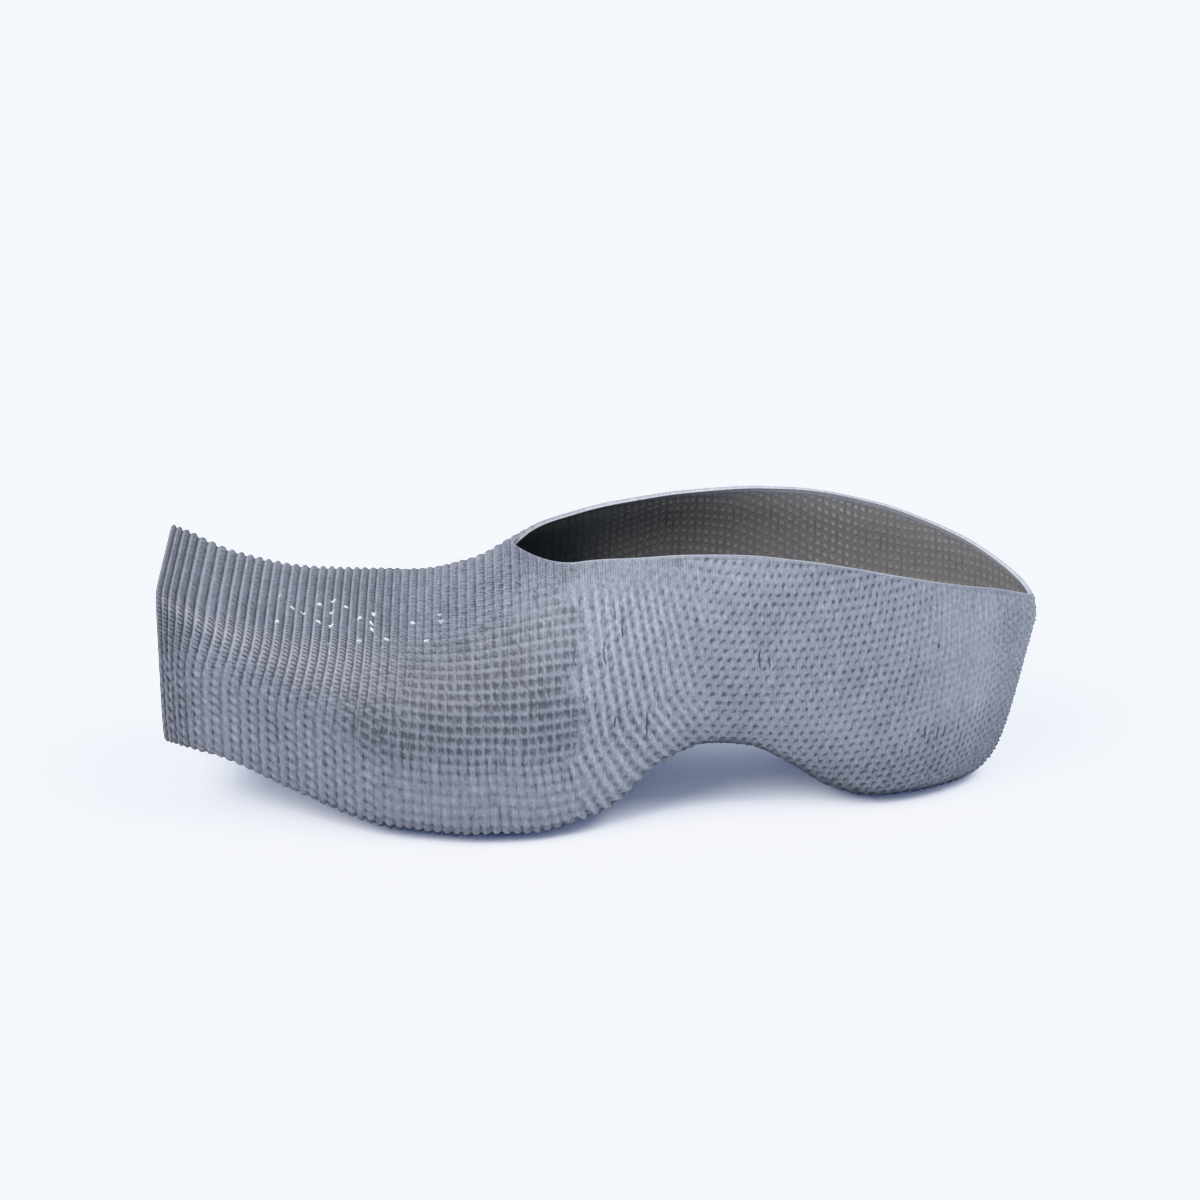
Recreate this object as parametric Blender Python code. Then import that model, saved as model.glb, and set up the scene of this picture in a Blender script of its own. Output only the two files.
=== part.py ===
"""Grey slip-on shoe with an integral stub heel, printed in one piece, with a loose footbed insole.

Metres, +Z up. X runs from the toe (-X) to the heel (+X), -Y is the outer side of the foot,
and the origin is on the floor under the middle of the shoe.
"""
from collections import namedtuple

import bmesh
import bpy
import numpy as np

# Driving dimensions, metres
LENGTH = 0.272
BALL_WIDTH = 0.101
INSTEP_HEIGHT = 0.0865
WALL = 0.0022
FIT_GAP = 0.0005
INSOLE_EDGE = 0.003
INSOLE_CUP = 0.0015

# Sizes that the section tables below are drawn for, millimetres
TABLE_LENGTH = 272.0
TABLE_BALL_WIDTH = 101.0
TABLE_INSTEP = 86.5
SCALE = np.array([LENGTH / TABLE_LENGTH, BALL_WIDTH / TABLE_BALL_WIDTH, INSTEP_HEIGHT / TABLE_INSTEP])

# Mesh density
STEPS_PER_SECTION = 3
THROAT_STEPS = 6
THROAT_CROWDING = 1.4
TURN_STEPS = 42
INSOLE_TURN_STEPS = 12
CURVE_STEPS = 160
SLOPE_STEP = 1e-3
MERGE_DISTANCE = 1e-6

# One row for each section of the last, toe first.
# x_out, x_sole: place of the section at the side and under the sole, so the rear ones fan out
# z_crown: height of the ridge, which the collar cuts away behind the throat
# collar: half opening as a share of the half width, which grows from nothing behind the throat
# z_wide, w_lat, w_med: height of the widest line, and half widths of the outer and inner side
# z_sole: height of the sole, cut flat at the floor
# n_up, n_low: roundness above and below the widest line, 2 an ellipse and 10 nearly square
# swing: shift of the ridge to the inner side
# lean_up, lean_low: how far the section leans along X above and below the widest line
# squeeze: how much closer the rows of the surface stand at the collar
Section = namedtuple(
    "Section",
    "x_out x_sole z_crown collar z_wide w_lat w_med z_sole n_up n_low swing lean_up lean_low squeeze",
)
SECTIONS = [
    Section(-136.0, -136.0, 77.5, 0.000, 55, 31.0, 32.5, 23.5, 10.0, 5.0, 0.0, 0, 0, 0.00),
    Section(-116.0, -116.0, 69.5, 0.000, 48, 35.5, 35.0, 20.5, 4.6, 5.0, 0.0, -5, 0, 0.00),
    Section(-90.0, -90.0, 64.8, 0.000, 40, 43.0, 40.5, 9.5, 3.0, 4.6, 0.5, -5, 0, 0.00),
    Section(-62.0, -62.0, 64.6, 0.000, 33, 51.0, 46.0, -0.2, 2.4, 4.8, 1.5, -2, 0, 0.00),
    Section(-42.0, -42.0, 69.4, 0.000, 29, 53.5, 47.5, -0.8, 2.1, 5.4, 2.5, 0, 1, 0.00),
    Section(-28.0, -28.0, 78.8, 0.380, 29, 53.0, 47.0, -0.8, 1.8, 5.4, 3.0, 0, 3, 0.20),
    Section(-8.0, -8.0, 90.1, 0.480, 32, 48.5, 45.5, 3.5, 1.9, 4.4, 1.0, 0, 7, 0.20),
    Section(8.0, 8.0, 95.9, 0.600, 39, 44.0, 43.0, 16.5, 2.0, 3.4, 0.0, 0, 9, 0.16),
    Section(24.0, 24.0, 101.3, 0.690, 46, 41.0, 41.0, 20.6, 2.0, 3.0, 0.0, 0, 8, 0.10),
    Section(40.0, 40.0, 107.8, 0.765, 48, 39.5, 39.5, 18.5, 2.0, 3.0, 0.0, 0, 5, 0.05),
    Section(56.0, 56.0, 116.6, 0.845, 50, 38.5, 38.5, 11.0, 2.0, 3.1, 0.0, 0, 2, 0.02),
    Section(72.0, 70.0, 123.9, 0.895, 51, 38.0, 38.0, 3.0, 2.0, 3.3, 0.0, 0, -1, 0.00),
    Section(90.0, 82.0, 118.8, 0.910, 52, 36.3, 36.3, -0.8, 2.0, 3.5, 0.0, 0, -3, 0.00),
    Section(110.0, 91.0, 107.1, 0.920, 53, 29.0, 29.0, -0.8, 2.0, 3.8, 0.0, 0, -5, 0.00),
    Section(122.5, 96.0, 98.5, 0.935, 54, 20.0, 20.0, -0.8, 2.0, 4.3, 0.0, 0, -6, 0.00),
    Section(131.0, 100.0, 88.5, 0.945, 54, 11.6, 11.6, -0.8, 2.0, 4.8, 0.0, 0, -7, 0.00),
    Section(134.8, 102.5, 83.0, 0.955, 54, 5.6, 5.6, -0.8, 2.0, 5.0, 0.0, 0, -8, 0.00),
    Section(136.0, 103.0, 80.8, 0.960, 54, 0.0, 0.0, -0.8, 2.0, 5.0, 0.0, 0, -8, 0.00),
]
# The outer side bulges more at the ball, so the middle of the last is moved off the origin
MIDDLE_SHIFT = (max(row.w_lat for row in SECTIONS) - max(row.w_med for row in SECTIONS)) / 2
THROAT = 5  # row of the last closed section
HEEL_END = len(SECTIONS) - 1
THROAT_SHARPNESS = {-1: 1.6, 1: 2.0}  # the collar opens faster on the outer side

# Top of the footbed along the shoe, millimetres
BedPoint = namedtuple("BedPoint", "x height")
FOOTBED = [
    BedPoint(-136, 30.5),
    BedPoint(-116, 26.0),
    BedPoint(-90, 21.5),
    BedPoint(-50, 19.5),
    BedPoint(-10, 21.5),
    BedPoint(25, 28.0),
    BedPoint(60, 30.5),
    BedPoint(136, 32.0),
]

SHELL_COLOUR = (0.255, 0.255, 0.290, 1.0)
INSOLE_COLOUR = (0.085, 0.082, 0.080, 1.0)


def smooth_curve(values, at, flat_end):
    """Monotone cubic through values at 0, 1, 2 and so on, read at the places in `at`."""
    values = np.asarray(values, float)
    rise = np.diff(values)
    slope = np.zeros(len(values))
    slope[0] = rise[0]
    slope[-1] = 0.0 if flat_end else rise[-1]
    for i in range(1, len(rise)):
        product = rise[i - 1] * rise[i]
        if product > 0:
            slope[i] = 2 * product / (rise[i - 1] + rise[i])
    i = np.clip(at.astype(int), 0, len(rise) - 1)
    t = at - i
    ease = t * t * (3 - 2 * t)
    start_pull = t * (1 - t) ** 2
    end_pull = t * t * (t - 1)
    return values[i] + rise[i] * ease + slope[i] * start_pull + slope[i + 1] * end_pull


def sections_at(stations):
    """Sections read between the table's rows: the back closes round, so only widths keep their slope."""
    columns = {}
    for name in Section._fields:
        values = [getattr(row, name) for row in SECTIONS]
        columns[name] = smooth_curve(values, stations, flat_end=name not in ("w_lat", "w_med"))
    opening = np.sqrt(1 - (1 - np.clip(stations - THROAT, 0, 1)) ** 2)
    columns["squeeze"] = columns["squeeze"] * opening
    columns["opening"] = opening
    return columns


def half_section(row, side):
    """Points of one side of a section, from the middle of the sole up to the ridge or the collar."""
    width = row["w_lat"] if side < 0 else row["w_med"]
    collar = row["collar"] * row["opening"] ** THROAT_SHARPNESS[side]
    above = row["z_crown"] - row["z_wide"]
    below = row["z_wide"] - row["z_sole"]
    up = np.linspace(np.pi / 2, np.arcsin(collar ** (row["n_up"] / 2)), CURVE_STEPS)[1:]
    low = np.linspace(np.pi / 2, 0, CURVE_STEPS)
    share = np.concatenate([np.cos(low) ** (2 / row["n_low"]), np.sin(up) ** (2 / row["n_up"])])
    share[0] = 0
    height = np.concatenate([-below * np.sin(low) ** (2 / row["n_low"]),
                             above * np.abs(np.cos(up)) ** (2 / row["n_up"])])
    climb = np.clip(height / above, 0, 1)
    drop = np.clip(-height / below, 0, 1)
    x = row["x_sole"] + (row["x_out"] - row["x_sole"]) * share
    x = x + row["lean_up"] * (1 - climb * climb * (3 - 2 * climb)) + row["lean_low"] * drop
    y = MIDDLE_SHIFT + side * width * share + row["swing"] * climb
    z = np.maximum(row["z_wide"] + height, 0)
    return np.stack([x, y, z], axis=-1) * SCALE


def outer_surface(stations, turns):
    """Outer surface on a grid. A turn runs from -1, the outer collar, by 0, the sole, to 1."""
    columns = sections_at(stations)
    grid = np.zeros((len(stations), len(turns), 3))
    for i in range(len(stations)):
        row = {name: values[i] for name, values in columns.items()}
        for side in (-1, 1):
            chosen = turns * side >= 0
            points = half_section(row, side)
            steps = np.linalg.norm(np.diff(points, axis=0), axis=1)
            along = np.concatenate([[0], np.cumsum(steps)])
            share = np.abs(turns[chosen])
            share = share + row["squeeze"] * share * (1 - share ** 3)
            for axis in range(3):
                grid[i, chosen, axis] = np.interp(share * along[-1], along, points[:, axis])
    return grid


def inner_surface(stations, turns, depth):
    """Points `depth` inside the outer surface."""
    before = outer_surface(np.maximum(stations - SLOPE_STEP, 0), turns)
    after = outer_surface(np.minimum(stations + SLOPE_STEP, HEEL_END), turns)
    along = after - before
    around = outer_surface(stations, turns + SLOPE_STEP) - outer_surface(stations, turns - SLOPE_STEP)
    inward = np.cross(along, around)
    inward[stations >= HEEL_END, :, 1] = 0
    inward[np.linalg.norm(inward, axis=-1) == 0] = (0, 0, 1)  # the seam's end on the floor
    inward /= np.linalg.norm(inward, axis=-1, keepdims=True)
    return outer_surface(stations, turns) + inward * depth


def mesh_stations():
    """Stations of the mesh, closer together where the collar opens."""
    stations = np.linspace(0, HEEL_END, HEEL_END * STEPS_PER_SECTION + 1)
    throat = THROAT + (np.arange(1, THROAT_STEPS) / THROAT_STEPS) ** THROAT_CROWDING
    return np.concatenate([stations[stations <= THROAT], throat, stations[stations >= THROAT + 1]])


def footbed_height(x):
    """Top of the footbed at the places x, metres."""
    marks = np.array([point.x for point in FOOTBED], float) * SCALE[0]
    heights = [point.height for point in FOOTBED]
    index = np.interp(x, marks, np.arange(len(marks)))
    return smooth_curve(heights, index, flat_end=True) * SCALE[2]


def add_grid(mesh, points):
    """Add a grid of points with a quad in each cell, and return its vertices."""
    verts = [[mesh.verts.new(point) for point in line] for line in points]
    for line, following in zip(verts, verts[1:]):
        for j in range(len(line) - 1):
            mesh.faces.new((line[j], line[j + 1], following[j + 1], following[j]))
    return verts


def finish_object(mesh, name, material):
    """Close the seams of a mesh, point its faces out and make it an object."""
    bmesh.ops.remove_doubles(mesh, verts=mesh.verts, dist=MERGE_DISTANCE)
    bmesh.ops.dissolve_degenerate(mesh, edges=mesh.edges, dist=MERGE_DISTANCE)
    bmesh.ops.recalc_face_normals(mesh, faces=mesh.faces)
    lowest = min(mesh.faces, key=lambda face: face.calc_center_median().z)
    if lowest.normal.z > 0:
        bmesh.ops.reverse_faces(mesh, faces=mesh.faces)
    data = bpy.data.meshes.new(name)
    mesh.to_mesh(data)
    mesh.free()
    data.shade_smooth()
    data.materials.append(material)
    piece = bpy.data.objects.new(name, data)
    bpy.context.collection.objects.link(piece)
    return piece


def make_material(name, colour, roughness):
    material = bpy.data.materials.new(name)
    material.use_nodes = True
    shader = material.node_tree.nodes["Principled BSDF"]
    shader.inputs["Base Color"].default_value = colour
    shader.inputs["Roughness"].default_value = roughness
    shader.inputs["Metallic"].default_value = 0.0
    return material


def make_shell():
    """Upper, sole and heel in one wall, closed flat at the toe and open at the collar."""
    turns = np.linspace(-1, 1, TURN_STEPS + 1)
    mesh = bmesh.new()
    verts = add_grid(mesh, outer_surface(mesh_stations(), turns))
    toe_loop = verts[0]
    bmesh.ops.pointmerge(mesh, verts=[toe_loop[0], toe_loop[-1]], merge_co=toe_loop[0].co)
    mesh.faces.new([vert for vert in toe_loop if vert.is_valid])
    shell = finish_object(mesh, "upper_and_sole_shell", make_material("printed_grey", SHELL_COLOUR, 0.62))
    wall = shell.modifiers.new("wall", "SOLIDIFY")
    wall.thickness = WALL
    wall.offset = -1.0
    wall.use_even_offset = True
    wall.use_quality_normals = True
    wall.use_rim = True
    return shell


def footbed_rows(stations):
    """Under side and top of the footbed, one row of points for each station, facing the shell's facets."""
    turns = np.linspace(-1, 1, TURN_STEPS + 1)
    inside = inner_surface(stations, turns, WALL + FIT_GAP)
    under = np.zeros((len(stations), INSOLE_TURN_STEPS + 1, 3))
    top = np.zeros_like(under)
    middle = TURN_STEPS // 2
    for i, line in enumerate(inside):
        clearance = line[:, 2] - (footbed_height(line[:, 0]) - INSOLE_EDGE)
        edges = []
        for side in (-1, 1):
            half = slice(middle, None) if side > 0 else slice(middle, None, -1)
            first_out = np.argmax(clearance[half] > 0)
            crossing = slice(first_out - 1, first_out + 1)
            edges.append(np.interp(0, clearance[half][crossing], turns[half][crossing]))
        chosen = np.linspace(edges[0], edges[1], INSOLE_TURN_STEPS + 1)
        for axis in range(3):
            under[i, :, axis] = np.interp(chosen, turns, line[:, axis])
        top[i] = under[i]
        rim = (np.abs(np.linspace(-1, 1, INSOLE_TURN_STEPS + 1))) ** 4
        top[i, :, 2] = footbed_height(top[i, :, 0]) + INSOLE_CUP * rim
    return under, top


def make_insole():
    """Loose footbed that fills the hollows of the sole, a gap off the wall all round."""
    first = np.interp(SECTIONS[0].x_out + (WALL + FIT_GAP) / SCALE[0],
                      [row.x_out for row in SECTIONS], np.arange(len(SECTIONS)))
    stations = np.concatenate([[first], mesh_stations()[1:]])
    under, top = footbed_rows(stations)
    mesh = bmesh.new()
    under_verts = add_grid(mesh, under)
    top_verts = add_grid(mesh, top)
    for edge in (0, -1):
        for i in range(len(stations) - 1):
            mesh.faces.new((under_verts[i][edge], under_verts[i + 1][edge],
                            top_verts[i + 1][edge], top_verts[i][edge]))
    mesh.faces.new(under_verts[0] + top_verts[0][::-1])
    return finish_object(mesh, "footbed_insole", make_material("footbed_felt", INSOLE_COLOUR, 0.9))


def main():
    for old in list(bpy.data.objects):
        bpy.data.objects.remove(old, do_unlink=True)
    make_shell()
    make_insole()


main()
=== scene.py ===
import math

import bpy
import numpy as np
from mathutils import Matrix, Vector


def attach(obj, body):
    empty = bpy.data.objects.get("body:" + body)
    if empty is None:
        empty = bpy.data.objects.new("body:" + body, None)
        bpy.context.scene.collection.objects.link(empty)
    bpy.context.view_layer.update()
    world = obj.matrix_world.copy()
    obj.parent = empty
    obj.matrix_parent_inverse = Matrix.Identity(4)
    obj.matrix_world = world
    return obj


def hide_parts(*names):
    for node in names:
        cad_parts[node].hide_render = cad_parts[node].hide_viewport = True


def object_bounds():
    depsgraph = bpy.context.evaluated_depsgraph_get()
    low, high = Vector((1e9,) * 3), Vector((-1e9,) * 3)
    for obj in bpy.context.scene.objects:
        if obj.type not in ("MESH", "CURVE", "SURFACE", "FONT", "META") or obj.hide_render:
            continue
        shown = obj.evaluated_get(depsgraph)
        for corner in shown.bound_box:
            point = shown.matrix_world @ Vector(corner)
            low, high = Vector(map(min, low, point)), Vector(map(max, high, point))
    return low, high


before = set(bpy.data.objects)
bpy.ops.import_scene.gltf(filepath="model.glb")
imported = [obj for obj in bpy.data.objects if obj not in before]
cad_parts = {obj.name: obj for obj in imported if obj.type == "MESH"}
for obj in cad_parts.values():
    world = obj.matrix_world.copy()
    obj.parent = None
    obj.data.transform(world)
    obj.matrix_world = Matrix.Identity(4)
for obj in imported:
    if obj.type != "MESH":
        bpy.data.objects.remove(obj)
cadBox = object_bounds()
print("frame loaded:", ", ".join(sorted(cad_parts)))

mm = 0.001

# the photo's camera, in pixels of the square image and metres
photoCamera = {
    "imageSize": 1200,
    "focalPixels": 3218,
    "sensorWidth": 36.0,
    "place": (-0.0368, -0.9289, 0.4371),
    "downDeg": 22.0,
    "turnDeg": -2.2,
}


def setCamera():
    turn = (math.radians(90 - photoCamera["downDeg"]), 0, math.radians(photoCamera["turnDeg"]))
    bpy.ops.object.camera_add(location=photoCamera["place"], rotation=turn)
    camera = bpy.context.object
    camera.data.sensor_width = photoCamera["sensorWidth"]
    camera.data.lens = photoCamera["focalPixels"] / photoCamera["imageSize"] * photoCamera["sensorWidth"]
    bpy.context.scene.camera = camera
    print("camera set, lens", round(camera.data.lens, 1))


# the last, one row for each section from toe to heel, in mm of a 272 mm long shoe
# xOut and xSole place a section at the side and under the sole, zCrown is its ridge
# collar is the half opening, zWide, wLat and wMed are the height and half widths of the widest line
# nUp and nLow are the roundness above and below it
lastColumns = ("xOut", "xSole", "zCrown", "collar", "zWide", "wLat", "wMed", "zSole", "nUp", "nLow",
               "swing", "leanUp", "leanLow")
lastRows = [
    (-136.0, -136.0, 77.5, 0.000, 55, 31.0, 32.5, 23.5, 10.0, 5.0, 0.0, 0, 0),
    (-116.0, -116.0, 69.5, 0.000, 48, 35.5, 35.0, 20.5, 4.6, 5.0, 0.0, -5, 0),
    (-90.0, -90.0, 64.8, 0.000, 40, 43.0, 40.5, 9.5, 3.0, 4.6, 0.5, -5, 0),
    (-62.0, -62.0, 64.6, 0.000, 33, 51.0, 46.0, -0.2, 2.4, 4.8, 1.5, -2, 0),
    (-42.0, -42.0, 69.4, 0.000, 29, 53.5, 47.5, -0.8, 2.1, 5.4, 2.5, 0, 1),
    (-28.0, -28.0, 78.8, 0.380, 29, 53.0, 47.0, -0.8, 1.8, 5.4, 3.0, 0, 3),
    (-8.0, -8.0, 90.1, 0.480, 32, 48.5, 45.5, 3.5, 1.9, 4.4, 1.0, 0, 7),
    (8.0, 8.0, 95.9, 0.600, 39, 44.0, 43.0, 16.5, 2.0, 3.4, 0.0, 0, 9),
    (24.0, 24.0, 101.3, 0.690, 46, 41.0, 41.0, 20.6, 2.0, 3.0, 0.0, 0, 8),
    (40.0, 40.0, 107.8, 0.765, 48, 39.5, 39.5, 18.5, 2.0, 3.0, 0.0, 0, 5),
    (56.0, 56.0, 116.6, 0.845, 50, 38.5, 38.5, 11.0, 2.0, 3.1, 0.0, 0, 2),
    (72.0, 70.0, 123.9, 0.895, 51, 38.0, 38.0, 3.0, 2.0, 3.3, 0.0, 0, -1),
    (90.0, 82.0, 118.8, 0.910, 52, 36.3, 36.3, -0.8, 2.0, 3.5, 0.0, 0, -3),
    (110.0, 91.0, 107.1, 0.920, 53, 29.0, 29.0, -0.8, 2.0, 3.9, 0.0, 0, -6),
    (122.5, 96.0, 98.5, 0.935, 54, 20.0, 20.0, -0.8, 2.0, 4.5, 0.0, 0, -8),
    (131.0, 100.0, 88.5, 0.945, 54, 11.6, 11.6, -0.8, 2.0, 5.4, 0.0, 0, -10),
    (134.8, 102.5, 83.0, 0.955, 54, 5.6, 5.6, -0.8, 2.0, 6.0, 0.0, 0, -11.5),
    (136.0, 103.0, 80.8, 0.960, 54, 0.0, 0.0, -0.8, 2.0, 6.0, 0.0, 0, -11.5),
]
lastShape = {
    "length": 272.0,
    "width": 101.0,
    "height": 86.5,
    "middle": 3.0,              # the outer side bulges more, so the middle plane is off the frame's
    "throat": 5,                # row where the collar starts to open
    "throatSharp": {-1: 1.6, 1: 2.0},
    "curveSteps": 160,
}
heelEnd = len(lastRows) - 1
cadSize = cadBox[1] - cadBox[0]
lastScale = np.array([cadSize.x / lastShape["length"], cadSize.y / lastShape["width"],
                      cadSize.z / lastShape["height"]])


def smoothStep(low, high, value):
    t = np.clip((value - low) / (high - low), 0, 1)
    return t * t * (3 - 2 * t)


def smoothCurve(values, at, flatEnd):  # monotone cubic through values at 0, 1, 2 and so on
    values = np.asarray(values, float)
    rise = np.diff(values)
    slope = np.zeros(len(values))
    slope[0] = rise[0]
    slope[-1] = 0 if flatEnd else rise[-1]
    for i in range(1, len(rise)):
        product = rise[i - 1] * rise[i]
        if product > 0:
            slope[i] = 2 * product / (rise[i - 1] + rise[i])
    i = np.clip(at.astype(int), 0, len(rise) - 1)
    t = at - i
    pull = slope[i] * t * (1 - t) ** 2 + slope[i + 1] * t * t * (t - 1)
    return values[i] + rise[i] * t * t * (3 - 2 * t) + pull


def readLast(stations):  # columns of the table between its rows, as upright arrays
    last = {}
    for name, values in zip(lastColumns, zip(*lastRows)):
        last[name] = smoothCurve(values, stations, name not in ("wLat", "wMed"))[:, None]
    past = np.clip(stations - lastShape["throat"], 0, 1)[:, None]
    last["opening"] = np.sqrt(1 - (1 - past) ** 2)
    return last


# one side of each section, from the sole's middle to the ridge or the collar
def sideCurves(stations, side, cut=True):
    last = readLast(stations)
    steps = lastShape["curveSteps"]
    width = last["wLat"] if side < 0 else last["wMed"]
    collar = last["collar"] * last["opening"] ** lastShape["throatSharp"][side] * cut
    above = last["zCrown"] - last["zWide"]
    below = last["zWide"] - last["zSole"]
    low = np.linspace(math.pi / 2, 0, steps)[None, :]
    top = np.arcsin(collar ** (last["nUp"] / 2))
    up = math.pi / 2 + (top - math.pi / 2) * np.linspace(0, 1, steps)[None, 1:]
    lowShare = np.cos(low) ** (2 / last["nLow"])
    lowShare[:, 0] = 0
    share = np.concatenate([lowShare, np.sin(up) ** (2 / last["nUp"])], axis=1)
    height = np.concatenate([-below * np.sin(low) ** (2 / last["nLow"]),
                             above * np.abs(np.cos(up)) ** (2 / last["nUp"])], axis=1)
    climb = smoothStep(0, 1, height / above)
    drop = np.clip(-height / below, 0, 1)
    x = last["xSole"] + (last["xOut"] - last["xSole"]) * share
    x = x + last["leanUp"] * (1 - climb) + last["leanLow"] * drop
    y = lastShape["middle"] + side * width * share + last["swing"] * np.clip(height / above, 0, 1)
    z = np.maximum(last["zWide"] + height, 0)
    return np.stack([x, y, z], axis=-1) * lastScale


def lengthAlong(points):  # distance along each line of points
    steps = np.linalg.norm(np.diff(points, axis=-2), axis=-1)
    return np.concatenate([np.zeros(steps.shape[:-1] + (1,)), np.cumsum(steps, axis=-1)], axis=-1)


# ribs run round the shoe, and rows of beads run along it
relief = {
    # x and pitch of the ribs, mm
    "ribPitch": ((-136, 1.3), (-124, 3.1), (-75, 3.1), (-60, 2.95), (-25, 2.7), (0, 2.6), (30, 2.45),
                 (136, 2.4)),
    "rowsHalf": 39,             # rows from the middle of the sole to the ridge
    # station and pitch of the rows where the collar cuts them off, mm
    "rowPitch": ((5, 3.5), (8, 3.5), (12.5, 3.0), (17, 3.1)),
    # station, then how far round the first 1/4, 1/2 and 3/4 of the rows reach
    "rowSpread": ((0, 0.38, 0.66, 0.83), (4.5, 0.37, 0.59, 0.80), (8, 0.25, 0.50, 0.75)),
    # station and width of the squeezed rows at the collar, mm
    "collarBand": ((5, 10.0), (6, 5.0), (8, 1.6)),
    "shoulders": (0, 1 / 3, 2 / 3),  # places of the vertices on a rib and on a bead
    "ribDepth": 0.38 * mm,
    "beadDepth": 0.36 * mm,
    "lineHeight": 0.30 * mm,
    "pitDepth": 0.28 * mm,
    "dimpleDepth": 0.50 * mm,
    "roughness": 0.05 * mm,
    "closeRibs": 2.4 * mm,      # ribs closer than this are lower
    "lowest": 0.3,              # but no lower than this share
    "stitch": 1.3 * mm,         # along the ribs of the toe
    "stagger": (-58, -76),      # x in mm; past it every other rib has its beads half a bead lower
    "unevenFront": ((2, 3.7), (1.5, 1.9)),  # size and length in mm of the waves where the rear starts
    "dashLength": 5,            # vertices
    "dashChance": 1.6,          # how far from the mean a random number makes a dash
    "seed": 11,
}
# behind the ball the beads lie on two families of leaning lines, which fan out towards the sole
# pitch in mm and lean in degrees are those at the arch and at the heel's back
beadLines = {
    "reach": (0, 120),          # arch and heel's back, along the side in mm
    "halfHeight": 45,           # where the lines are counted along the side, mm
    "ridges": {"pitch": (3.6, 2.0), "lean": (10, 45)},
    "slants": {"pitch": (3.0, 2.3), "lean": (-60, 0)},
}
# shares of the ridges, the slants and the lines across both in the heights behind the ball
lineShares = {
    "arch": (0.6, 0.3, -0.1),
    "quarter": (1 / 3, 1 / 3, -1 / 3),
    "heel": (0.1, 0.35, -0.45),
}
# where the relief changes: from none to all along x in mm, and from none to all in shares of the way round
zones = {
    "toeTop": ((-50, -85), (0.52, 0.72)),
    "toeLow": ((-50, -80), (0.66, 0.50)),
    "vampTop": ((-6, -30), (0.64, 0.90)),
    "ball": ((-85, -62), (0.52, 0.42)),
    "waffle": ((-102, -74), (0.46, 0.57)),
    "rear": ((-13, -6), None),
    "quarter": ((14, 36), None),
}
# smaller changes, also from none to all: x, z and distances from the collar in mm
# a turn is the upright part of the outward direction
spans = {
    "heelX": (88, 108),
    "heelZ": (22, 42),
    "backX": (114, 128),
    "backZ": (70, 58),
    "netX": (80, 105),          # from the quarter's dimples to the heel's
    "plainCollar": (15, 4),
    "plainFrontX": (-50, -30),
    "plainBackX": (42, 18),
    "edgeCollar": (0.3, 1.4),
    "frontLowZ": (14, 4),
    "rearLowZ": (18, 6),
    "underTurn": (-0.05, -0.5),
    # the next two spans place painted shade under the sole and on the toe's end
    "soleTurn": (-0.55, -0.95),
    "toeStripX": (-122, -131),
    "darkerLowZ": (32, 12),
    "darkerLowX": (45, 70),
}
# shares everywhere, and what each zone adds to them
ribShares = {"all": 0.75, "toeTop": 0.55, "ball": -0.25, "vampTop": -0.1}
beadShares = {"all": 0.55, "toeTop": -0.4, "toeLow": 0.45, "vampTop": -0.2}
toneShares = {"all": 1, "toeTop": -0.5, "toeLow": -0.25, "ball": -0.4, "vampTop": -0.2}


def ribStations():  # valleys and crests along the shoe, spaced along the widest line of the outer side
    fine = np.linspace(0, heelEnd, 40 * heelEnd + 1)
    widest = sideCurves(fine, -1)[:, lastShape["curveSteps"] - 1]
    along = lengthAlong(widest)
    places, pitches = np.array(relief["ribPitch"]).T
    density = 1 / np.interp(widest[:, 0], places * lastScale[0], pitches * mm)
    count = np.concatenate([[0], np.cumsum((density[1:] + density[:-1]) / 2 * np.diff(along))])
    ribs = round(count[-1])
    places = (np.arange(ribs)[:, None] + np.array(relief["shoulders"])[None, :]).ravel()
    places = np.append(places, ribs) * count[-1] / ribs
    stations = np.interp(places, count, fine)
    fromMiddle = np.interp(stations, fine, along) - np.interp(0, widest[:, 0], along)
    return stations, ribs, fromMiddle


def beadRows():  # from -rowsHalf at the outer ridge, by 0 at the sole, to rowsHalf
    half = (np.arange(relief["rowsHalf"])[:, None] + np.array(relief["shoulders"])[None, :]).ravel()
    half = np.append(half, relief["rowsHalf"])
    return np.concatenate([-half[:0:-1], half])


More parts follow.
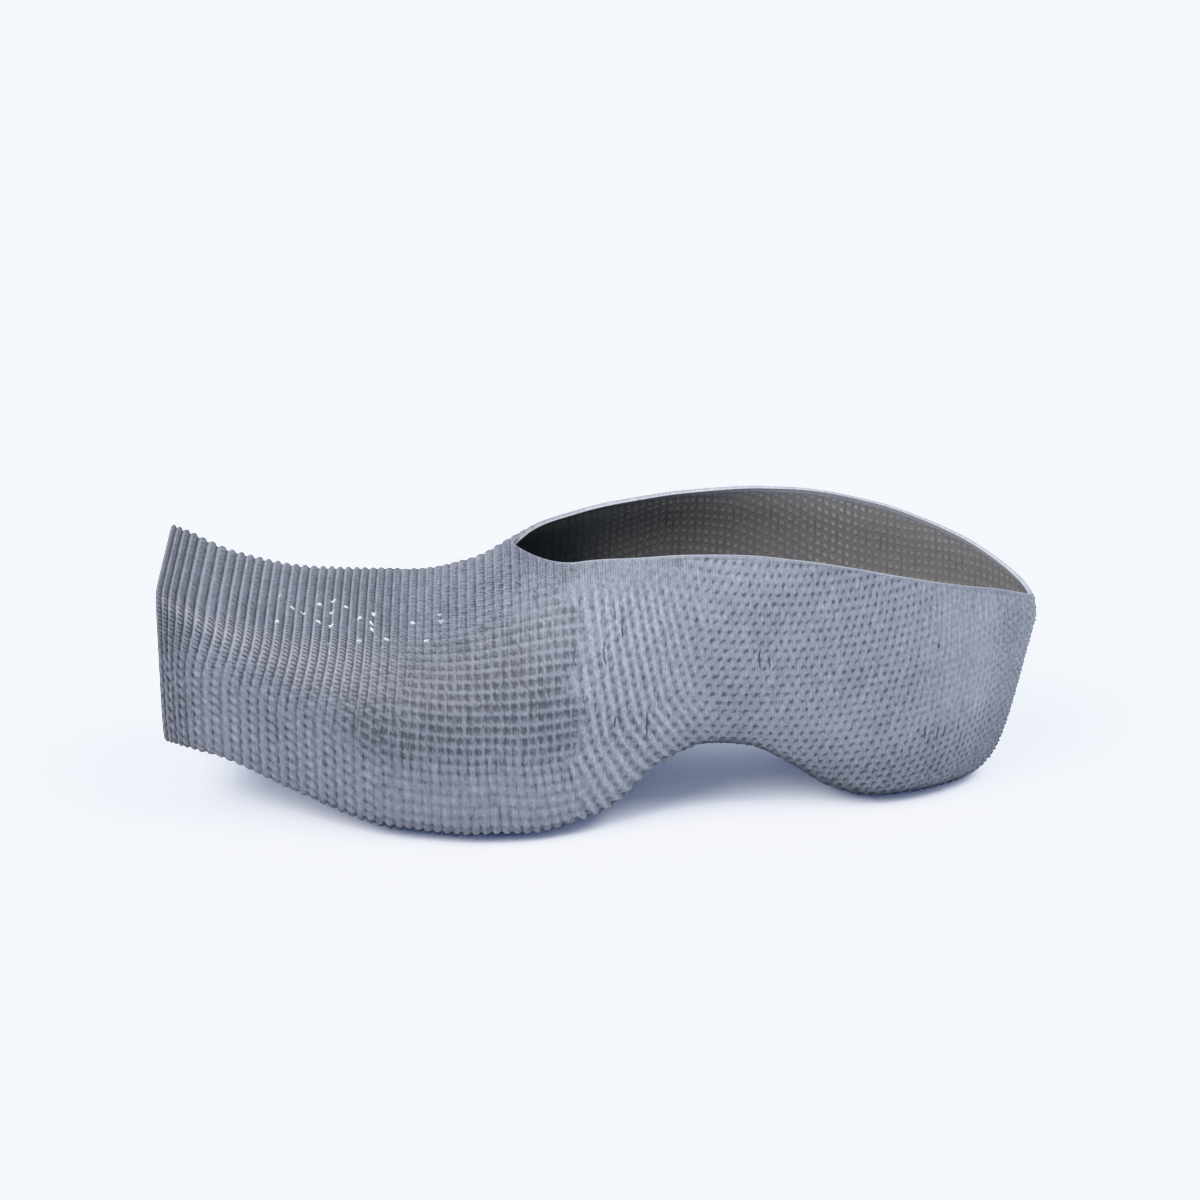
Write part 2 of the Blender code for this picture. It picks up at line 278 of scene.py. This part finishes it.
# points on the last, how far each is from the collar, and its share of the way from sole to ridge
def surface(stations, rows):
    grid = np.zeros((len(stations), len(rows), 3))
    toCollar = np.full((len(stations), len(rows)), 1.0)
    way = np.zeros((len(stations), len(rows)))
    throat = lastShape["throat"]
    spreadAt, *spreads = zip(*relief["rowSpread"])
    spreads = [np.interp(stations, spreadAt, values) for values in spreads]
    bands = np.interp(stations, *zip(*relief["collarBand"])) * mm
    pitches = np.interp(stations, *zip(*relief["rowPitch"])) * mm
    behind = smoothStep(throat, throat + 3, stations)
    for side in (-1, 1):
        chosen = np.nonzero(rows * side >= 0)[0]
        share = np.abs(rows[chosen]) / relief["rowsHalf"]
        curves = sideCurves(stations, side)
        along = lengthAlong(curves)
        uncut = lengthAlong(sideCurves(stations, side, cut=False))[:, -1]
        full = uncut + (pitches * relief["rowsHalf"] - uncut) * behind
        for i, curve in enumerate(curves):
            end = along[i, -1]
            spread = [0, *(values[i] for values in spreads), 1]
            place = smoothCurve(spread, share * 4, False) * max(full[i], end)
            band = end - bands[i]
            squeezed = band + (place - band) * bands[i] / (max(full[i], end) - band)
            place = np.where(place < band, place, squeezed)
            for axis in range(3):
                grid[i, chosen, axis] = np.interp(place, along[i], curve[:, axis])
            way[i, chosen] = place / end
            if stations[i] > throat:
                toCollar[i, chosen] = end - place
    closed = stations <= throat
    if closed.any():
        corner = sideCurves(np.array([float(throat)]), -1)[0, -1]
        toCollar[closed] = np.linalg.norm(grid[closed] - corner, axis=-1)
    return grid, toCollar, way


def outward(points, closed):  # outward directions on a grid, by the neighbours' places
    along = np.gradient(points, axis=0)
    around = np.gradient(points, axis=1)
    across = points[closed, 1] - points[closed, -2]  # the ridge is closed over the toe
    around[closed, 0] = across
    around[closed, -1] = across
    along[closed, 0] = along[closed, -1] = (along[closed, 0] + along[closed, -1]) / 2
    out = np.cross(around, along)
    out[-1, :, 1] = 0  # the heel's seam is in the middle plane
    out[-1] = out[-1] + out[-1, ::-1]
    size = np.linalg.norm(out, axis=-1, keepdims=True)
    return np.where(size > 0, out / np.maximum(size, 1e-12), np.array([0, 0, -1.0]))


def inZone(name, x, way):
    along, up = zones[name]
    amount = smoothStep(*along, x)
    return amount * smoothStep(*up, way) if up else amount


def beadWave(place):  # narrow valleys at whole numbers, flat crests between
    return 0.65 - 1.95 * np.clip(1 - 3 * np.abs(place - np.round(place)), 0, 1)


def thinLine(place):  # a thin line on the third vertex of each rib or bead
    return np.clip(1 - 3 * np.abs(place + 1 / 3 - np.round(place + 1 / 3)), 0, 1)


# numbers the lines along the side at half height, then up and down from there
def lineCount(family, along, z):
    pitch = np.interp(along, beadLines["reach"], beadLines[family]["pitch"])
    lean = np.radians(np.interp(along, beadLines["reach"], beadLines[family]["lean"]))
    count = np.cumsum(np.cos(lean) / pitch * np.gradient(along, axis=0), axis=0)
    return count + (z - beadLines["halfHeight"]) * np.sin(lean) / pitch


def inSpan(name, value):
    return smoothStep(*spans[name], value)


def byZone(shares, amounts):
    return shares["all"] + sum(shares[zone] * amounts[zone] for zone in shares if zone != "all")


def zoneAmounts(x, z, way, fromCollar, turn):  # how much each vertex is in each zone, from 0 to 1
    amounts = {name: inZone(name, x, way) for name in zones}
    unevenX = x + sum(size * np.sin(z / length) for size, length in relief["unevenFront"])
    amounts["rear"] = inZone("rear", unevenX, way)
    amounts["vampTop"] = amounts["vampTop"] * (1 - amounts["toeTop"])
    amounts["waffle"] = amounts["waffle"] * (1 - amounts["toeTop"]) * (1 - amounts["vampTop"])
    amounts["heel"] = inSpan("heelX", x) * inSpan("heelZ", z)
    amounts["back"] = inSpan("backX", x) * inSpan("backZ", z)
    amounts["sole"] = inSpan("soleTurn", turn)
    amounts["under"] = inSpan("underTurn", turn)
    amounts["plain"] = inSpan("plainCollar", fromCollar) * inSpan("plainFrontX", x) * inSpan("plainBackX", x)
    amounts["edge"] = inSpan("edgeCollar", fromCollar)
    return amounts


def frontHeights(ribPart, beadPart, lines, amounts, z):  # ribs of beads, and a waffle behind them
    beads = ribPart * relief["ribDepth"] + beadPart * relief["beadDepth"]
    pits = lines * relief["lineHeight"] - (1 - lines) * relief["pitDepth"]
    return (beads + (pits - beads) * amounts["waffle"]) * (1 + 1.2 * inSpan("frontLowZ", z))


def rearHeights(ridges, slants, amounts, x, z):  # ridges over the arch, then a net of dimples
    waves = [np.cos(2 * math.pi * count) for count in (ridges, slants, ridges - slants)]
    parts = {}
    for name, shares in lineShares.items():
        parts[name] = sum(share * wave for share, wave in zip(shares, waves))
    dimples = parts["quarter"] + (parts["heel"] - parts["quarter"]) * inSpan("netX", x)
    heights = parts["arch"] + (dimples - parts["arch"]) * amounts["quarter"]
    flatter = 1 - 0.45 * amounts["heel"] - 0.35 * amounts["quarter"] * (1 - amounts["heel"])
    deeper = (1 + 0.5 * inSpan("rearLowZ", z) + 2.8 * amounts["back"]) * (1 + 0.7 * amounts["under"])
    return heights * relief["dimpleDepth"] * flatter * deeper


def makeRelief(points, toCollar, way, out, rows, fromMiddle):  # heights, and what the material reads
    rng = np.random.default_rng(relief["seed"])
    columns = len(points)
    x = points[..., 0] / mm
    z = points[..., 2] / mm
    middle = len(rows) // 4
    rib = np.repeat(np.arange(columns)[:, None] / 3, len(rows), axis=1)
    row = np.repeat(np.abs(rows)[None, :], columns, axis=0)
    lower = 0.5 * (np.floor(rib + 0.01) % 2) * smoothStep(*relief["stagger"], x[:, middle])[:, None]
    around = lengthAlong(points)
    around = np.where(rows[None, :] < 0, around, around[:, -1:] - around)  # from the ridge
    along = fromMiddle[:, None] / mm
    ridges = lineCount("ridges", along, z)
    slants = lineCount("slants", along, z)
    amounts = zoneAmounts(x, z, way, toCollar / mm, out[..., 2])
    toeTop, toeLow, vampTop, rear, quarter, heel, plain, edge = [amounts[name] for name in (
        "toeTop", "toeLow", "vampTop", "rear", "quarter", "heel", "plain", "edge")]
    ribPart = beadWave(rib) * byZone(ribShares, amounts)
    beadPart = beadWave(row + lower) * byZone(beadShares, amounts)
    lines = np.maximum(0.7 * thinLine(rib), thinLine(row + lower))
    front = frontHeights(ribPart, beadPart, lines, amounts, z)
    heights = front + (rearHeights(ridges, slants, amounts, x, z) - front) * rear
    heights = heights * (1 - 0.5 * plain) + rng.normal(0, relief["roughness"], heights.shape)
    ribGap = 3 * np.linalg.norm(np.gradient(points[:, middle], axis=0), axis=-1)
    heights = heights * edge * np.clip(ribGap / relief["closeRibs"], relief["lowest"], 1)[:, None]
    # valleys are painted shade, darkest between two beads, and crests are painted light; the printer leaves
    # dark dashes round the shoe
    tone = np.clip(0.6 * ribPart + 0.5 * beadPart, -1.2, 1) * byZone(toneShares, amounts)
    # painted shade in the waffle's pits, with its raised lines light
    tone = tone + (lines * 0.95 - 1.0 - tone) * amounts["waffle"]
    tone = tone * (1 - rear) * (1 - 0.5 * plain) + rng.normal(0, 0.12, tone.shape)
    dashes = rng.normal(0, 1, (columns, len(rows) // relief["dashLength"] + 2))
    dashes = dashes.repeat(relief["dashLength"], axis=1)[:, :len(rows)] > relief["dashChance"]
    tone = tone - 0.4 * dashes * (1 - toeTop) * (1 - 0.6 * toeLow) * (1 - 0.5 * rear)
    # painted shade under the sole and on the toe's end, painted light on the heel and on the top of the vamp
    tone = tone - 1.5 * amounts["sole"] - 0.4 * inSpan("toeStripX", x) + 0.4 * heel + 0.1 * vampTop
    # darker towards the bottom between x 45 and 70 mm
    tone = tone - 0.35 * inSpan("darkerLowZ", z) * inSpan("darkerLowX", x)
    tone = np.where(toCollar < 0.25 * mm, 1.2, tone * edge)  # painted highlight: the rim is light
    for values in (heights, tone):  # both sides meet at the ridge and at the heel's seam
        values[:, -1] = values[:, 0]
        values[-1] = (values[-1] + values[-1, ::-1]) / 2
    return heights, {
        "tone": tone,
        "rib": rib,
        "row": row,
        "ridges": ridges,
        "slants": slants,
        "arch": rear * (1 - quarter) * (1 - plain),
        "net": rear * quarter * edge * (1 - 0.55 * heel),
        "knit": toeTop + 0.5 * vampTop * (1 - rear),
        "plain": np.maximum(plain, 0.8 * heel) * edge,
        "stitch": around / relief["stitch"],
        "inside": np.zeros(tone.shape),
    }


def gridPiece(name, points):  # a grid primitive whose vertices are moved onto the points
    columns, rows = points.shape[:2]
    bpy.ops.object.select_all(action="DESELECT")
    bpy.ops.mesh.primitive_grid_add(x_subdivisions=columns - 1, y_subdivisions=rows - 1, size=1)
    piece = bpy.context.object
    piece.name = name
    piece.data.name = name
    piece.data.vertices.foreach_set("co", points.transpose(1, 0, 2).astype(np.float32).ravel())
    piece.data.update()
    return piece


def vertexValues(piece, named):  # numbers for each vertex, which the materials read
    for name, values in named.items():
        attribute = piece.data.attributes.new(name, "FLOAT", "POINT")
        attribute.data.foreach_set("value", values.T.astype(np.float32).ravel())


def inMesh(piece, *steps):  # edit mode steps on one piece
    bpy.ops.object.select_all(action="DESELECT")
    piece.select_set(True)
    bpy.context.view_layer.objects.active = piece
    bpy.ops.object.mode_set(mode="EDIT")
    for step in steps:
        step()
    bpy.ops.object.mode_set(mode="OBJECT")


shellLook = {
    "wall": 2.2 * mm,
    "rim": 1.4 * mm,
    "lip": (1.1 * mm, 1.9 * mm),  # painted highlight: the inside turns light between these distances from the collar
    "endRibs": 9,               # rings of ribs on the flat toe end
    "endDepth": (0.75 * mm, 0.40 * mm),  # valleys and crests there
    "endRim": ((0.93, 0.10), (0.95, 0), (0.99, 0)),  # size and depth in mm of its edge
}


def toeEnd(edge):  # rings from the middle of the end to its edge, how deep they are and their ribs
    sizes = np.linspace(0, 0.91, 2 * shellLook["endRibs"] + 1)
    depths = np.where(np.arange(len(sizes)) % 2 == 0, *shellLook["endDepth"])
    rimSizes, rimDepths = np.array(shellLook["endRim"]).T
    sizes = np.append(sizes, rimSizes)
    depths = np.append(depths, rimDepths * mm)
    middle = (edge.min(axis=0) + edge.max(axis=0)) / 2
    rings = middle + (edge - middle) * sizes[:, None, None]
    rings[..., 0] = rings[..., 0] + depths[:, None]
    valley = (depths == shellLook["endDepth"][0])[:, None] * np.ones(len(edge))
    return rings, valley


def makeShell():
    wall = shellLook["wall"]
    throat = lastShape["throat"]
    stations, ribs, fromMiddle = ribStations()
    rows = beadRows()
    outer, toCollar, way = surface(stations, rows)
    out = outward(outer, stations <= throat)
    heights, values = makeRelief(outer, toCollar, way, out, rows, fromMiddle)
    outerPoints = outer + out * heights[..., None]
    outerPoints[..., 2] = np.maximum(outerPoints[..., 2], 0)
    outerPoints[0, :, 0] = cadBox[0].x
    rings, valley = toeEnd(outerPoints[0])
    shell = gridPiece("printed_shell", np.concatenate([rings, outerPoints]))
    for name in values:
        # painted shade in the valleys of the toe end's rings
        ringValues = 0.2 - 0.8 * valley if name == "tone" else 0 * valley
        values[name] = np.concatenate([ringValues, values[name]])
    vertexValues(shell, values)
    # the inside is plainer: one vertex for each bead
    endWall = cadBox[0].x + wall
    first = np.interp(endWall, outer[:, len(rows) // 4, 0], stations)
    chosen = np.nonzero(stations[::3] > first + 0.02)[0]
    innerStations = np.concatenate([[first], stations[::3][chosen]])
    base, innerToCollar, _ = surface(innerStations, rows[::3])
    depth = shellLook["rim"] + (wall - shellLook["rim"]) * smoothStep(0, 8 * mm, innerToCollar)
    innerPoints = base - outward(base, innerStations <= throat) * depth[..., None]
    innerPoints[..., 0] = np.maximum(innerPoints[..., 0], endWall + 0.1 * mm)
    innerPoints[0, :, 0] = endWall
    endCorners = innerPoints[:1].min(axis=1, keepdims=True), innerPoints[:1].max(axis=1, keepdims=True)
    pole = np.repeat(sum(endCorners) / 2, len(rows[::3]), axis=1)
    inner = gridPiece("shell_inside", np.concatenate([pole, innerPoints]))
    inside = np.where(innerStations[:, None] > throat, smoothStep(*shellLook["lip"], innerToCollar), 1)
    innerValues = {
        "inside": inside,
        # painted highlight: the lip takes the light rim colour
        "tone": 2 * (1 - inside),
        "rib": np.concatenate([chosen[:1] - 1.0, chosen])[:, None] * np.ones(inside.shape),
        "row": np.abs(rows[::3]) * np.ones(inside.shape),
    }
    for name in innerValues:
        innerValues[name] = np.concatenate([innerValues[name][:1], innerValues[name]])
    vertexValues(inner, innerValues)
    for piece in (shell, inner):
        inMesh(
            piece,
            lambda: bpy.ops.mesh.select_all(action="SELECT"),
            lambda: bpy.ops.mesh.remove_doubles(threshold=1e-6),
            lambda: bpy.ops.mesh.normals_make_consistent(inside=piece is inner),
        )
    bpy.ops.object.select_all(action="DESELECT")
    inner.select_set(True)
    shell.select_set(True)
    bpy.context.view_layer.objects.active = shell
    bpy.ops.object.join()
    inMesh(
        shell,
        lambda: bpy.ops.mesh.select_mode(type="EDGE"),
        lambda: bpy.ops.mesh.select_all(action="DESELECT"),
        lambda: bpy.ops.mesh.select_non_manifold(use_wire=False, use_multi_face=False,
                                                 use_non_contiguous=False, use_verts=False),
        lambda: bpy.ops.mesh.mark_sharp(),
        lambda: bpy.ops.mesh.bridge_edge_loops(),
        lambda: bpy.ops.mesh.select_all(action="DESELECT"),
    )
    shell.data.shade_smooth()
    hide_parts("upper_and_sole_shell")
    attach(shell, "root")
    triangles = sum(len(polygon.vertices) - 2 for polygon in shell.data.polygons)
    print("shell made:", ribs, "ribs,", triangles, "triangles")
    return shell


class Value:  # a socket in a material; sums and products of values add Math nodes
    def __init__(self, finish, socket):
        self.finish = finish
        self.socket = socket

    def math(self, operation, *terms):
        return self.finish.add("ShaderNodeMath", {"operation": operation}, dict(enumerate(terms)))

    def __add__(self, other):
        return self.math("ADD", self, other)

    def __sub__(self, other):
        return self.math("SUBTRACT", self, other)

    def __rsub__(self, other):
        return self.math("SUBTRACT", other, self)

    def __mul__(self, other):
        return self.math("MULTIPLY", self, other)

    __radd__ = __add__
    __rmul__ = __mul__

    def part(self, low, high):  # 0 below low, 1 above high, smooth between
        if low > high:
            return 1 - self.part(high, low)
        return self.finish.add("ShaderNodeMapRange", {"interpolation_type": "SMOOTHSTEP"},
                               {"Value": self, "From Min": low, "From Max": high})

    def wave(self):  # 1 at whole numbers, -1 halfway
        return self.math("COSINE", self * (2 * math.pi))


class Finish:  # a material and its nodes
    def __init__(self, name, roughness):
        self.material = bpy.data.materials.new(name)
        self.material.use_nodes = True
        self.tree = self.material.node_tree
        self.shader = self.tree.nodes["Principled BSDF"]
        self.shader.inputs["Roughness"].default_value = roughness

    def add(self, kind, settings=None, sockets=None, out=0):
        node = self.tree.nodes.new(kind)
        for name, value in (settings or {}).items():
            setattr(node, name, value)
        for name, value in (sockets or {}).items():
            self.feed(node.inputs[name], value)
        return Value(self, node.outputs[out])

    def feed(self, socket, value):
        if isinstance(value, Value):
            self.tree.links.new(value.socket, socket)
        else:
            socket.default_value = value

    def mix(self, factor, first, second, blend="MIX"):
        settings = {"data_type": "RGBA", "blend_type": blend}
        return self.add("ShaderNodeMix", settings, {0: factor, 6: first, 7: second}, out=2)

    def number(self, name):  # a vertex value of the piece
        return self.add("ShaderNodeAttribute", {"attribute_name": name}, out=2)

    def spot(self, place, centre, size):  # 1 in an upright slit, seen along y
        middle = (centre[0], 0, centre[1])
        centred = self.add("ShaderNodeVectorMath", {"operation": "SUBTRACT"}, {0: place, 1: middle})
        scaled = self.stretch(centred, (1 / size[0], 0, 1 / size[1]))
        return self.add("ShaderNodeVectorMath", {"operation": "LENGTH"}, {0: scaled}, out=1).part(1.1, 0.6)

    def stretch(self, vector, scale):
        return self.add("ShaderNodeVectorMath", {"operation": "MULTIPLY"}, {0: vector, 1: scale})

    def shift(self, vector, scale, size):  # places moved unevenly, by up to the size
        uneven = self.add("ShaderNodeTexNoise", {}, {"Vector": vector, "Scale": scale}, out=1)
        sockets = {0: uneven, 1: size, 2: vector}
        return self.add("ShaderNodeVectorMath", {"operation": "MULTIPLY_ADD"}, sockets)

    def noise(self, vector, scale, detail=3.0):
        return self.add("ShaderNodeTexNoise", {}, {"Vector": vector, "Scale": scale, "Detail": detail})

    def bump(self, height, distance, strength=1.0):
        sockets = {"Height": height, "Distance": distance, "Strength": strength}
        return self.add("ShaderNodeBump", {}, sockets)

    def give(self, name, value):
        self.feed(self.shader.inputs[name], value)


# grey flexible plastic, printed in thin layers that stack along the shoe
printLook = {
    "grey": (0.097, 0.107, 0.136, 1),
    # pit and crest are the colours of the painted shade in hollows and the painted highlights on crests;
    # random tone and print marks use them too
    "pit": (0.023, 0.027, 0.039, 1),
    "crest": (0.148, 0.161, 0.197, 1),
    "toe": (0.83, 0.81, 0.82, 1),             # painted shade: darker towards the toe, with a slightly warmer tint
    # painted highlight on the rim
    "rim": (0.22, 0.225, 0.25, 1),
    # painted light: the inside is coloured lighter than the outside, to lift its shade
    "inside": (0.142, 0.135, 0.138, 1),
    "insideLight": (0.215, 0.215, 0.218, 1),
    "speck": (0.36, 0.40, 0.42, 1),
    "specksPerMetre": 240,
    "speckShift": (1.8 * mm, 1.8 * mm, 0),    # makes the specks ragged
    "slitShift": (2.4 * mm, 0, 0),            # makes the slits crooked
    "roughness": 0.6,
    "layer": 0.5 * mm,
    "grain": 0.7 * mm,
    # a nick and a few slits on the outer side: x, z and half sizes in mm
    "slits": ((102, 57, 0.6, 0.9), (47, 56, 0.35, 3.5), (49.8, 55, 0.3, 2.5), (99, 28, 0.35, 2.2),
              (103.5, 27, 0.35, 2.6), (105.6, 27, 0.3, 2.2), (-9, 60, 0.3, 3), (0, 60, 0.35, 4.5),
              (5.5, 66, 0.3, 2.5), (13, 37, 0.35, 5), (3, 39, 0.3, 2)),
}


def specks(finish, place, x, y, z):  # white specks on the outer side of the toe
    cells = {"voronoi_dimensions": "2D"}
    ragged = finish.shift(place, 800, printLook["speckShift"])
    sockets = {"Vector": ragged, "Scale": printLook["specksPerMetre"]}
    near = finish.add("ShaderNodeTexVoronoi", cells, sockets).part(0.22, 0.10)
    cellColour = finish.add("ShaderNodeTexVoronoi", cells, sockets, out=1)
    chosen = finish.add("ShaderNodeSeparateColor", {}, {0: cellColour}).part(0.19, 0.17)
    zone = x.part(-0.108, -0.102) * x.part(-0.048, -0.054) * z.part(0.050, 0.053) * y.part(-0.002, -0.005)
    return near * chosen * zone * y.part(-0.030, -0.026)


def slits(finish, place, y):  # only on the outer side
    dark = 0
    crooked = finish.shift(place, 220, printLook["slitShift"])
    for x, z, halfWidth, halfHeight in printLook["slits"]:
        dark = finish.spot(crooked, (x * mm, z * mm), (halfWidth * mm, halfHeight * mm)) + dark
    return dark * y.part(-0.004, -0.008)


def printedGrey():
    look = printLook
    finish = Finish("printed_grey", look["roughness"])
    place = finish.add("ShaderNodeTexCoord", out=3)
    x, y, z = [finish.add("ShaderNodeSeparateXYZ", {}, {0: place}, out=axis) for axis in range(3)]
    rib = finish.number("rib")
    row = finish.number("row")
    inside = finish.number("inside")
    layers = finish.noise(finish.stretch(place, (1, 0.08, 0.08)), 1 / look["layer"], 1.0)
    grain = finish.noise(finish.stretch(place, (1, 0.6, 0.6)), 1 / look["grain"], 3.0)
    patches = finish.noise(place, 45, 3.0).part(0.4, 0.8)
    # stitches on the rear half of the ribs of the toe, a painted highlight on one flank of each rib and
    # painted shade in its valleys, and fine lines where the relief is plain
    phase = rib.math("FRACT", rib)
    stitch = (finish.number("stitch") - phase * 0.7).wave().part(-0.3, 0.8)
    stitch = stitch * phase.part(0.28, 0.46) * phase.part(1.0, 0.88)
    paintedValleyShade = rib.wave().part(0.70, 1.0) * layers.part(0.35, 0.6)
    shine = phase.part(0.08, 0.16) * phase.part(0.40, 0.26) * grain
    tone = finish.number("tone") + finish.number("knit") * (0.1 + shine * 1.4 - stitch * 1.5 - paintedValleyShade * 1.2)
    tone = tone - finish.number("plain") * (rib * 3).wave().part(0, 1) * 0.45
    # ridges with pits between them over the arch, painted light on the ridges and painted shade in the pits,
    # and a net of dimples behind
    uneven = (finish.noise(place, 330, 2.0) - 0.5) * 0.55
    ridges = finish.number("ridges") + uneven
    slants = finish.number("slants") + uneven
    onRidge = ridges.wave()
    onSlant = slants.wave()
    across = (ridges - slants).wave()
    pits = (onRidge + onSlant * 0.7).part(-0.4, -1.7)
    hairs = layers.part(0.55, 0.72) * onRidge.part(0.7, -0.3)
    crests = onRidge.part(-0.5, 1.0) * grain * 1.1
    tone = tone + finish.number("arch") * (crests - pits * grain * 1.1 - hairs * 0.9)
    # painted shade: dark crescents on the lower side of the net's dimples
    dashes = onSlant * 1.4 - across
    tone = tone + finish.number("net") * (dashes * 0.10 - dashes.part(-0.7, -2.3) * grain * 1.25)
    tone = tone + (grain - 0.5) * 1.7 + (layers - 0.5) * 1.2 - patches * 0.3 - slits(finish, place, y) * 1.7
    colour = finish.mix(tone.part(-0.1, 0.9), look["grey"], look["crest"])
    colour = finish.mix(tone.part(0.1, -1.3), colour, look["pit"])
    # painted shade: the colour is multiplied darker towards the toe, with a slightly warmer tint
    colour = finish.mix(x.part(0.005, -0.06), colour, look["toe"], "MULTIPLY")
    # painted highlight: the rim colour where the tone is highest
    colour = finish.mix(tone.part(1.3, 1.9), colour, look["rim"])
    colour = finish.mix(specks(finish, place, x, y, z), colour, look["speck"])
    seam = rib.wave().part(0.5, 1.0)
    dots = (rib.wave() * -1 - row.wave()).part(0.3, 1.9)
    # painted light inside: lighter bead tops, much lighter under the vamp and a little lighter towards the
    # heel
    lightDots = dots * (patches + 0.3) * grain * 2.0
    light = lightDots + x.part(0.02, 0.12) * 0.1 + x.part(0.03, -0.02) * 1.2
    insideColour = finish.mix(light, look["inside"], look["insideLight"])
    insideColour = finish.mix(seam * layers.part(0.35, 0.75) * 0.35, insideColour, look["pit"])
    finish.give("Base Color", finish.mix(inside, colour, insideColour))
    finish.give("Normal", finish.bump(layers * 0.5 + grain * 0.8 + dots * inside * 0.8, 0.2 * mm, 0.6))
    return finish.material


# the loose footbed inside, of felt over thin foam
footbedLook = {
    "voxel": 2.0 * mm,
    "smoothing": 8,
    "fill": 0.9,
    "felt": (0.045, 0.043, 0.042, 1),
    "fleck": (0.085, 0.082, 0.078, 1),
}


def makeFootbed():
    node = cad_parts["footbed_insole"]
    footbed = node.copy()
    footbed.data = node.data.copy()
    footbed.name = "footbed"
    footbed.data.name = "footbed"
    bpy.context.scene.collection.objects.link(footbed)
    inMesh(
        footbed,
        lambda: bpy.ops.mesh.select_all(action="SELECT"),
        lambda: bpy.ops.mesh.remove_doubles(threshold=1e-6),
    )
    remesh = footbed.modifiers.new("remesh", "REMESH")
    remesh.mode = "VOXEL"
    remesh.voxel_size = footbedLook["voxel"]
    smooth = footbed.modifiers.new("smooth", "SMOOTH")
    smooth.iterations = footbedLook["smoothing"]
    for modifier in ("remesh", "smooth"):
        bpy.ops.object.modifier_apply(modifier=modifier)
    footbed.data.shade_smooth()
    finish = Finish("felt", 0.95)
    place = finish.add("ShaderNodeTexCoord", out=3)
    fibres = finish.noise(finish.stretch(place, (1, 2.5, 1)), 700, 4.0)
    wear = finish.noise(place, 25, 2.0)
    finish.give("Base Color", finish.mix((fibres * 1.4 + wear * 0.6).part(0.7, 1.4), footbedLook["felt"],
                                         footbedLook["fleck"]))
    finish.give("Normal", finish.bump(fibres, 0.3 * mm))
    footbed.data.materials.clear()
    footbed.data.materials.append(finish.material)
    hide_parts("footbed_insole")
    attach(footbed, "root")
    print("footbed made:", len(footbed.data.polygons), "faces")


stageLook = {
    "floorSize": 12,
    "floor": (0.81, 0.82, 0.835, 1),
    "floorGlow": (0.030, 0.045, 0.115, 1),  # keeps shadows pale and blue
    "sky": (0.86, 0.93, 1.0, 1),
    "skyStrength": 1.35,
    "sun": (1.0, 0.97, 0.93),
    "suns": (((28, -36, 0), 4.3), ((12, 28, 0), 3.1)),  # turns in degrees and strengths
    "sunSoftDeg": 40,
}


def setStage():
    bpy.ops.mesh.primitive_plane_add(size=stageLook["floorSize"], location=(0, 0, -0.2 * mm))
    floor = bpy.context.object
    floor.name = "floor"
    finish = Finish("pale_floor", 0.8)
    finish.give("Base Color", stageLook["floor"])
    finish.give("Emission Color", stageLook["floorGlow"])
    finish.give("Emission Strength", 1)
    floor.data.materials.append(finish.material)
    world = bpy.data.worlds.new("soft_sky")
    bpy.context.scene.world = world
    world.use_nodes = True
    background = world.node_tree.nodes["Background"]
    background.inputs["Color"].default_value = stageLook["sky"]
    background.inputs["Strength"].default_value = stageLook["skyStrength"]
    for turns, strength in stageLook["suns"]:
        bpy.ops.object.light_add(type="SUN", rotation=[math.radians(turn) for turn in turns])
        lamp = bpy.context.object.data
        lamp.angle = math.radians(stageLook["sunSoftDeg"])
        lamp.energy = strength
        lamp.color = stageLook["sun"]
    bpy.context.scene.view_settings.view_transform = "Khronos PBR Neutral"
    print("stage set")


setCamera()
shell = makeShell()
shell.data.materials.clear()
shell.data.materials.append(printedGrey())
makeFootbed()
setStage()
